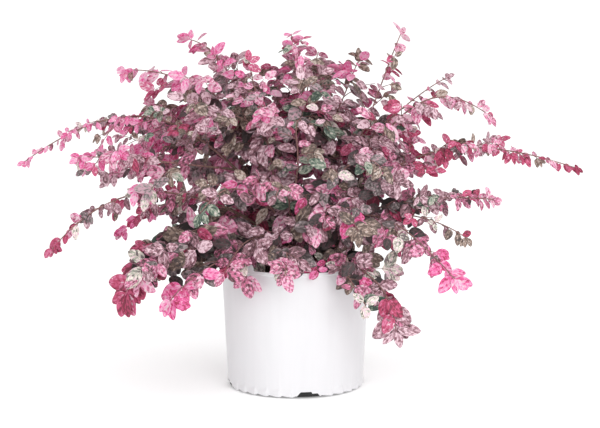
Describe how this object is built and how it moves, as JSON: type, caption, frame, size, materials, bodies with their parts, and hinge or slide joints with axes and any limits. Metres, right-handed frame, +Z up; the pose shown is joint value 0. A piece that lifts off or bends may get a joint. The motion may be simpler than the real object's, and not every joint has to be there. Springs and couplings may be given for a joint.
{
  "type": "potted chinese fringe flower shrub",
  "caption": "Arching variegated evergreen shrub with pink, mauve and grey-green leaves, growing in a round white nursery pot filled with bark mix.",
  "frame": {"origin": "centre of the pot's flat underside", "axes": "+Z up, +X along the widest spread of the shrub, the front of the shrub looks along -Y"},
  "size_m": [1.0405, 0.6455, 0.6845],
  "materials": {
    "pot_plastic": "satin moulded white outside, black inside",
    "bark_mix": "rough shredded bark",
    "stem_bark": "thin brown bark",
    "leaves": "soft matt leaf"
  },
  "bodies": {
    "root": {"bough_back_left": "stem_bark", "bough_back_left_low": "stem_bark", "bough_back_mid": "stem_bark", "bough_back_right": "stem_bark", "bough_back_right_low": "stem_bark", "bough_back_top": "stem_bark", "bough_front_drop": "stem_bark", "bough_front_mid_left": "stem_bark", "bough_front_mid_right": "stem_bark", "bough_front_top": "stem_bark", "bough_left_drop": "stem_bark", "bough_left_hang": "stem_bark", "bough_left_long": "stem_bark", "bough_left_low": "stem_bark", "bough_left_mid": "stem_bark", "bough_right_droop": "stem_bark", "bough_right_hang": "stem_bark", "bough_right_long": "stem_bark", "bough_right_low": "stem_bark", "bough_right_mid": "stem_bark", "bough_right_upper": "stem_bark", "bough_top_left": "stem_bark", "bough_top_right": "stem_bark", "bough_upper_left": "stem_bark", "foliage_back_left": "leaves", "foliage_back_left_low": "leaves", "foliage_back_low": "leaves", "foliage_back_mid": "leaves", "foliage_back_right": "leaves", "foliage_back_right_low": "leaves", "foliage_back_top": "leaves", "foliage_crown_right": "leaves", "foliage_front_centre": "leaves", "foliage_front_drop": "leaves", "foliage_front_left": "leaves", "foliage_front_mid": "leaves", "foliage_front_mid_left": "leaves", "foliage_front_mid_right": "leaves", "foliage_front_right": "leaves", "foliage_front_top": "leaves", "foliage_left_drop": "leaves", "foliage_left_hang": "leaves", "foliage_left_long": "leaves", "foliage_left_low": "leaves", "foliage_left_mid": "leaves", "foliage_right_droop": "leaves", "foliage_right_hang": "leaves", "foliage_right_long": "leaves", "foliage_right_low": "leaves", "foliage_right_mid": "leaves", "foliage_right_side": "leaves", "foliage_right_upper": "leaves", "foliage_top_centre": "leaves", "foliage_top_front": "leaves", "foliage_top_left": "leaves", "foliage_top_right": "leaves", "foliage_upper_left": "leaves", "pot": "pot_plastic", "potting_mix": "bark_mix", "stem": "stem_bark"}
  },
  "joints": []
}
